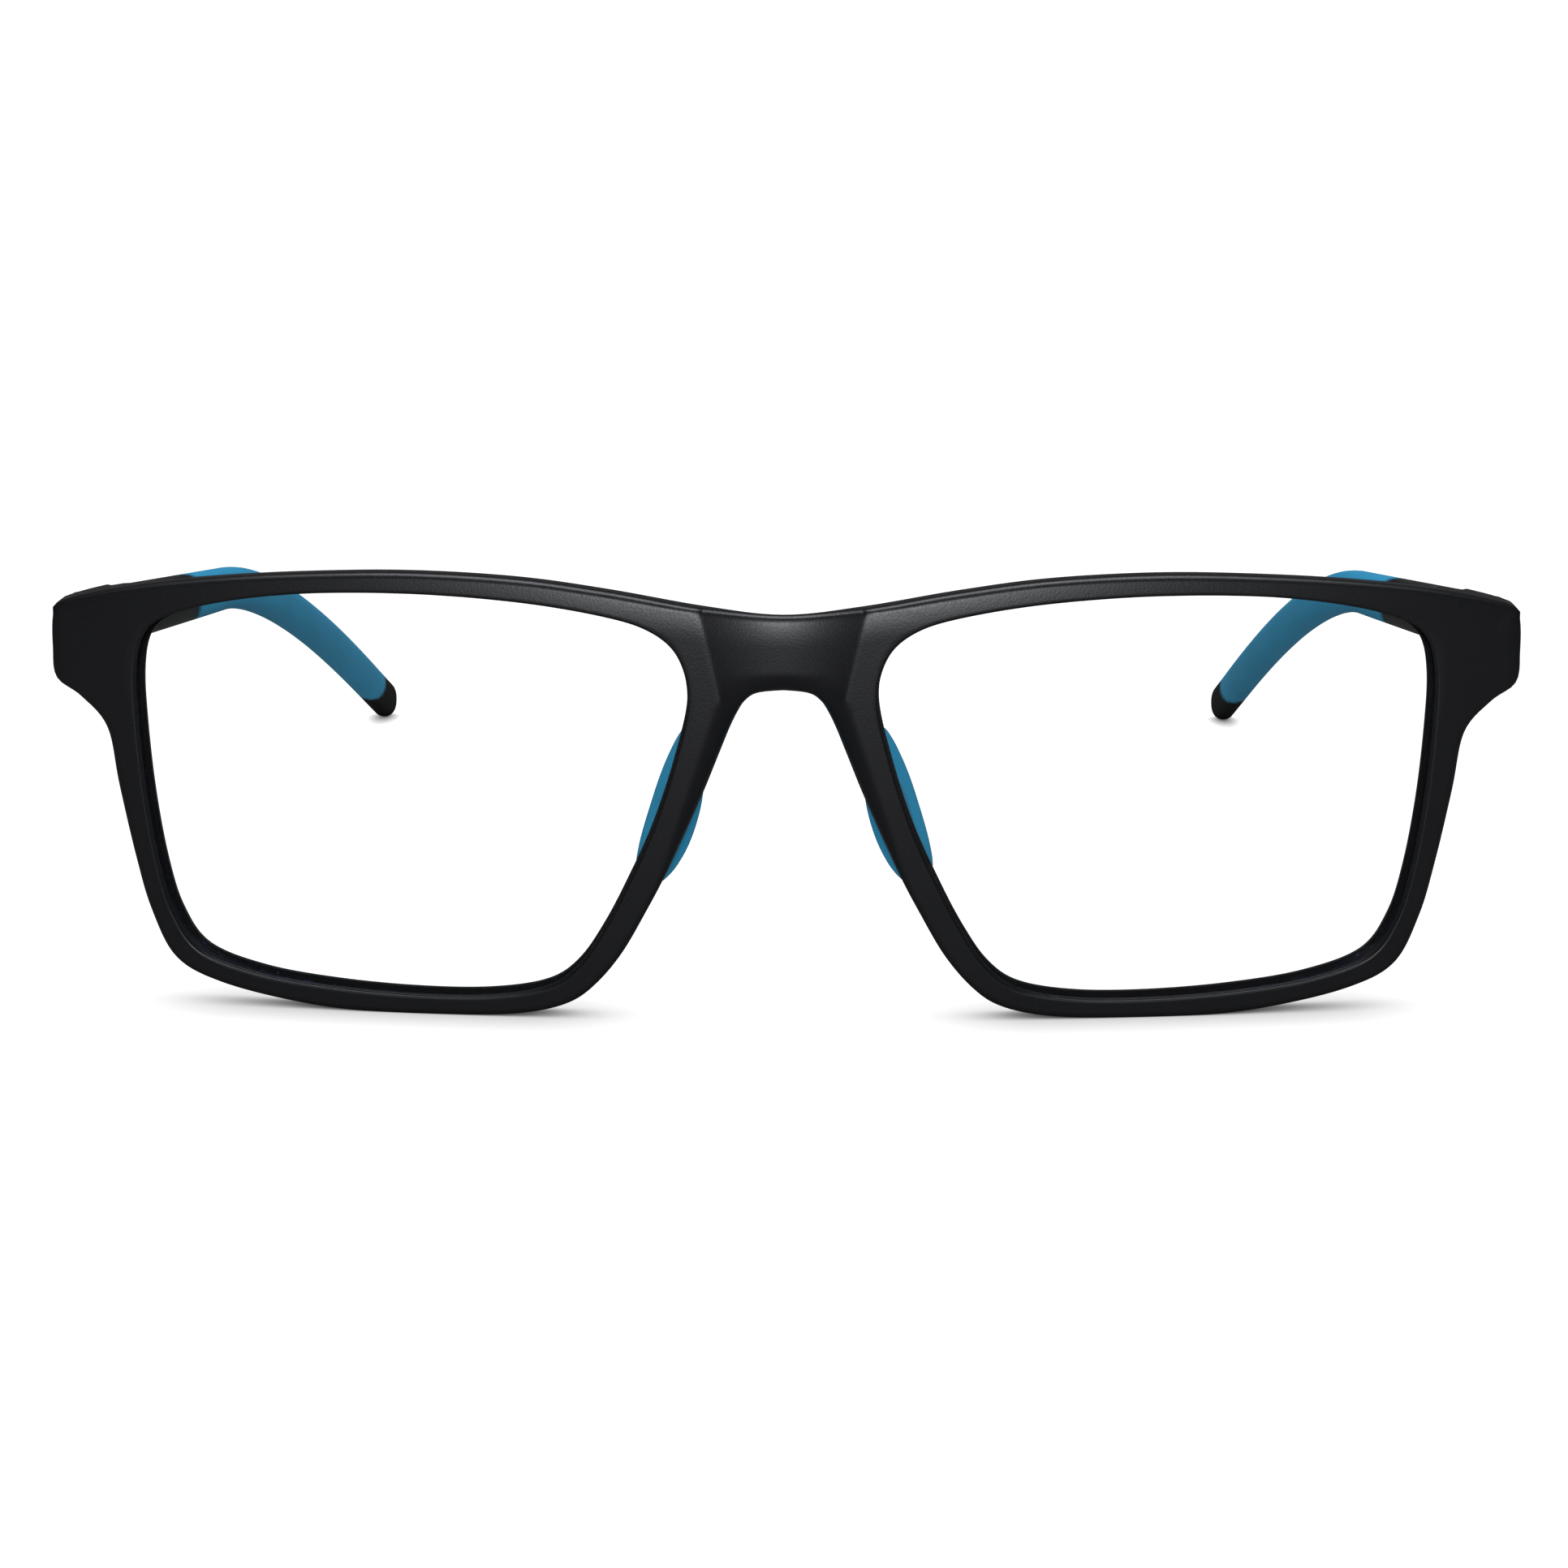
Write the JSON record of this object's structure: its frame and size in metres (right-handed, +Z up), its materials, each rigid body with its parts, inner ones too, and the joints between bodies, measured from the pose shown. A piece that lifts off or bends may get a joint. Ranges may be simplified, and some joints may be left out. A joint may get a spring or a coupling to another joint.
{
  "type": "light glasses",
  "caption": "Full-rim glasses with a gently wrapped rectangular front, soft silicone nose pads and slim two-tone folding temples with bent ear pieces.",
  "frame": {"origin": "on the table under the middle of the bounding box, with the temples open: half-way between the front of the rims and the ends of the temple tips, on the centre line", "axes": "+X towards the wearer's left, -Y the way the wearer looks, +Z up; the frame stands on its rim bottoms and temple tips at Z = 0"},
  "size_m": [0.14, 0.1436, 0.0426],
  "materials": {
    "frame_black": "fine satin",
    "lens_clear": "clear, faint coating",
    "silicone_blue": "soft matt",
    "hinge_steel": "satin"
  },
  "bodies": {
    "front": {"front_frame": "frame_black", "lens_left": "lens_clear", "lens_right": "lens_clear", "nose_pad_left": "silicone_blue", "nose_pad_right": "silicone_blue", "hinge_front_left": "hinge_steel", "hinge_front_right": "hinge_steel", "hinge_screw_left": "hinge_steel", "hinge_screw_right": "hinge_steel"},
    "left_temple": {"hinge_temple_left": "hinge_steel", "leaf_screws_left": "hinge_steel", "temple_arm_left": "frame_black", "temple_core_left": "hinge_steel", "temple_sleeve_left": "silicone_blue", "temple_tip_left": "frame_black"},
    "right_temple": {"hinge_temple_right": "hinge_steel", "leaf_screws_right": "hinge_steel", "temple_arm_right": "frame_black", "temple_core_right": "hinge_steel", "temple_sleeve_right": "silicone_blue", "temple_tip_right": "frame_black"}
  },
  "joints": [
    {"name": "left_temple_fold", "type": "hinge", "parent": "front", "child": "left_temple", "pos_m": [0.0641, -0.05791, 0.0362], "axis": [0, 0, 1], "range_deg": [0, 79]},
    {"name": "right_temple_fold", "type": "hinge", "parent": "front", "child": "right_temple", "pos_m": [-0.0641, -0.05791, 0.0362], "axis": [0, 0, -1], "range_deg": [0, 69]}
  ]
}
